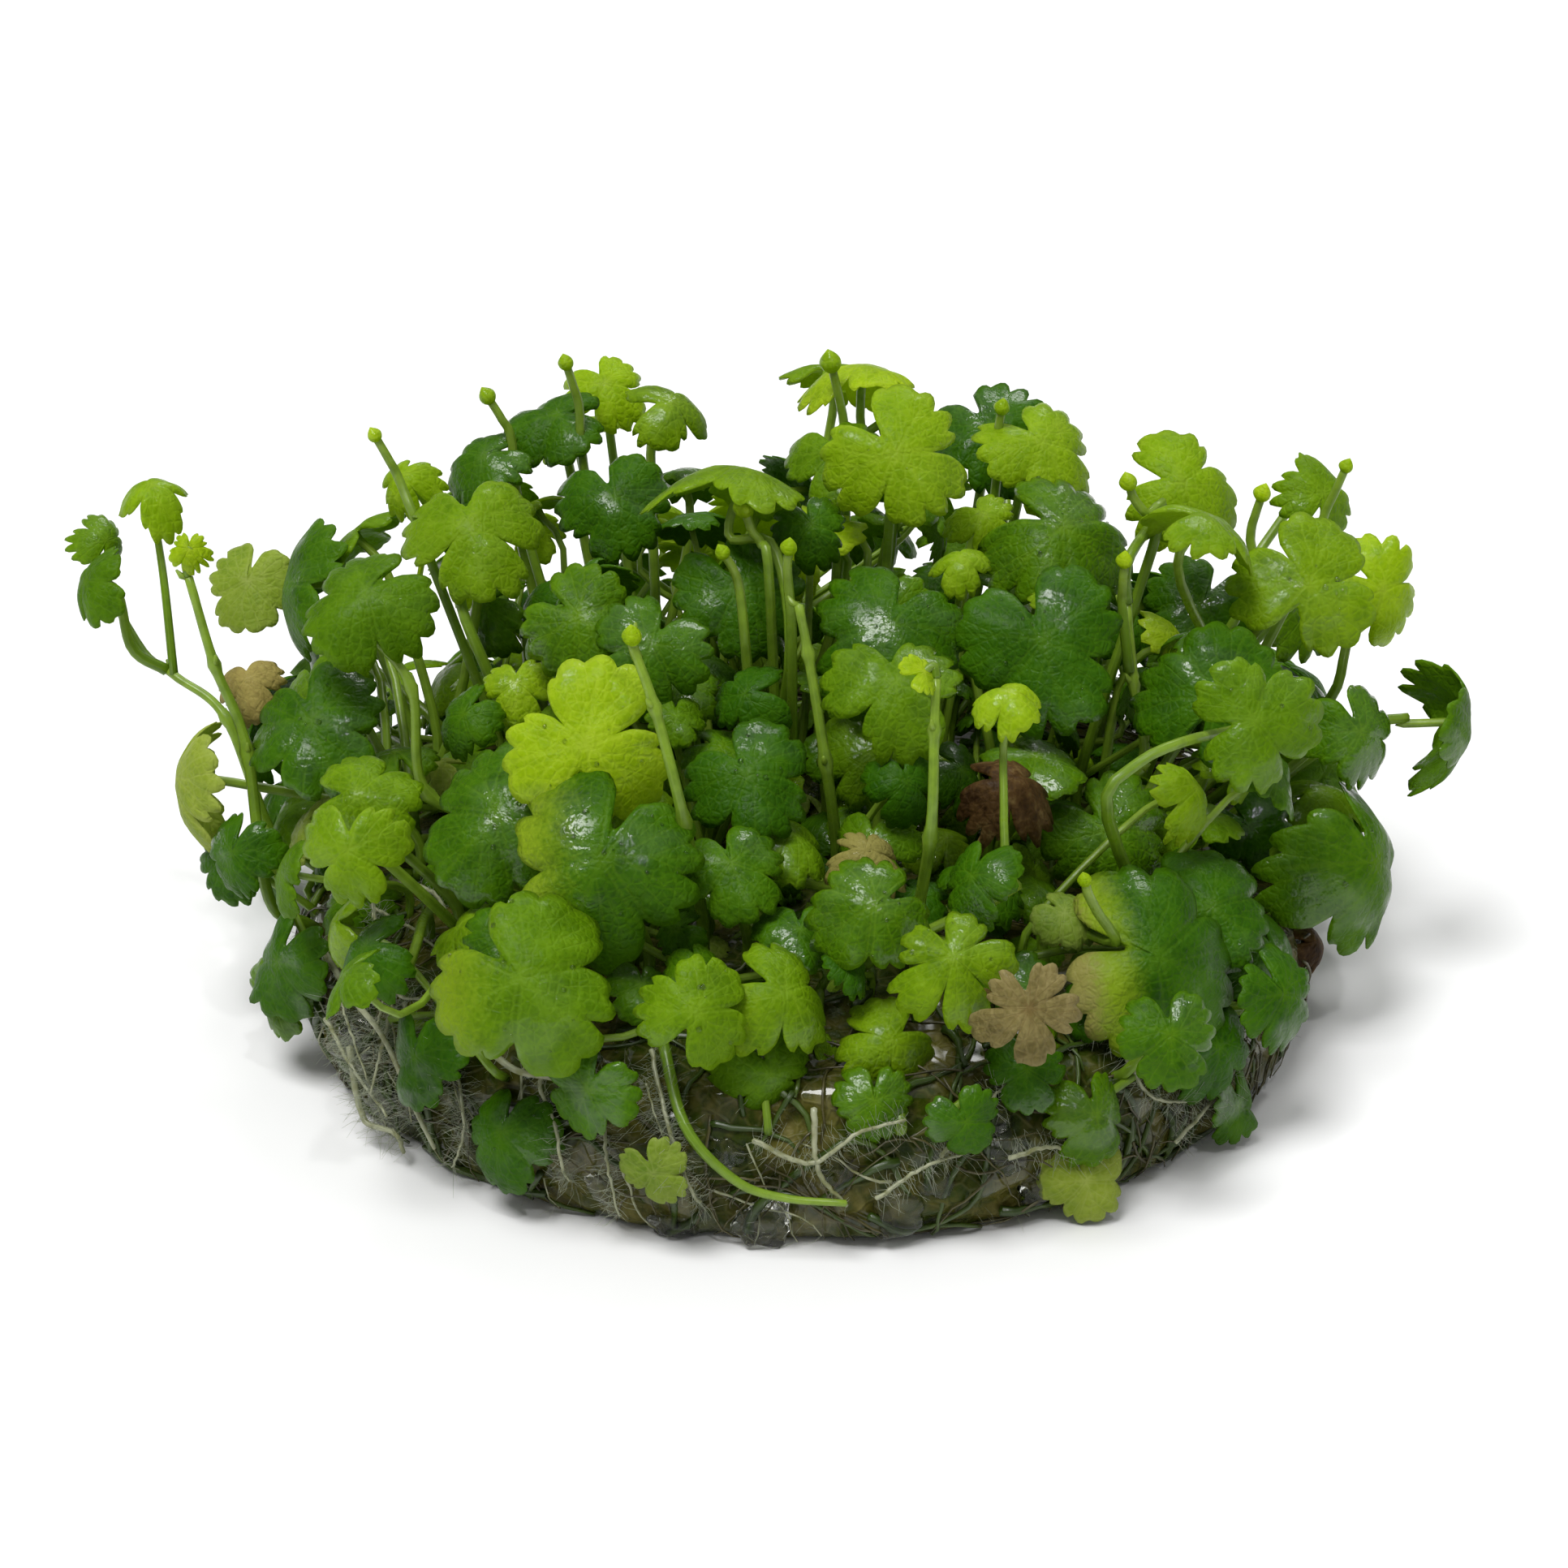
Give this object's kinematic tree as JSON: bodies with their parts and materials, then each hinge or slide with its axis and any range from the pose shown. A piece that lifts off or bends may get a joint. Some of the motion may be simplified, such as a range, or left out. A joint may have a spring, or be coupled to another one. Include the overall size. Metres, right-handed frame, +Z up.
{
  "type": "tissue culture pennywort",
  "caption": "Round clump of aquarium pennywort: lobed green leaves on thin stalks rise from a flat mat of roots and gel, with stems, a runner and white roots over its edge.",
  "frame": {"origin": "middle of the flat underside of the root mat, which rests on a surface", "axes": "+Z up out of the mat through the leaves, -Y towards the pictured side, +X to that viewer's right"},
  "size_m": [0.0846, 0.0676, 0.0364],
  "materials": {
    "leaf_young": "soft satin, thin and translucent",
    "leaf_fresh": "soft satin, thin and translucent",
    "leaf_mature": "wet gloss",
    "leaf_pale": "soft satin, fading",
    "leaf_dry": "matte, papery, brown veins",
    "stem": "smooth wet satin",
    "root": "translucent white, downy",
    "root_mat": "wet tangle of roots in clear gel"
  },
  "bodies": {
    "root": {"leaf_centre_broad": "leaf_mature", "leaf_far_left": "leaf_fresh", "leaf_far_right": "leaf_mature", "leaf_foot_right": "leaf_mature", "leaf_foot_round": "leaf_mature", "leaf_front_broad": "leaf_mature", "leaf_front_cross": "leaf_fresh", "leaf_front_crown": "leaf_fresh", "leaf_front_curled": "leaf_young", "leaf_front_drooping": "leaf_fresh", "leaf_front_gold": "leaf_young", "leaf_front_middle": "leaf_mature", "leaf_front_shade": "leaf_mature", "leaf_front_tan": "leaf_dry", "leaf_front_two_tone": "leaf_fresh", "leaf_gloss_lower": "leaf_mature", "leaf_gloss_upper": "leaf_mature", "leaf_gold_bud": "leaf_young", "leaf_left_broad": "leaf_mature", "leaf_left_cap": "leaf_young", "leaf_left_edge_on": "leaf_mature", "leaf_left_gold": "leaf_young", "leaf_left_rolled": "leaf_pale", "leaf_left_tent": "leaf_fresh", "leaf_middle_shade": "leaf_mature", "leaf_right_edge": "leaf_young", "leaf_right_folded": "leaf_mature", "leaf_right_foot": "leaf_mature", "leaf_right_low": "leaf_mature", "leaf_right_middle": "leaf_mature", "leaf_right_star": "leaf_fresh", "leaf_right_top": "leaf_young", "leaf_right_upper": "leaf_fresh", "leaf_top_arch": "leaf_young", "leaf_top_gold": "leaf_young", "leaf_top_underside": "leaf_fresh", "leaves_back_1": "leaf_mature", "leaves_back_2": "leaf_mature", "leaves_back_3": "leaf_mature", "leaves_back_4": "leaf_mature", "leaves_back_5": "leaf_mature", "leaves_back_right": "leaf_mature", "leaves_left_foot": "leaf_mature", "leaves_left_low": "leaf_fresh", "leaves_left_middle": "leaf_mature", "leaves_middle": "leaf_mature", "leaves_top_left": "leaf_mature", "leaves_upper_left": "leaf_mature", "leaves_upper_right": "leaf_mature", "root_hoop": "root", "root_left": "root", "root_mat": "root_mat", "runner_front": "stem", "stem_budded": "stem", "stem_far_left": "stem", "stem_left": "stem", "stem_left_hook": "stem", "stem_middle": "stem", "stem_right_tall": "stem", "stem_sprout": "stem"}
  },
  "joints": []
}
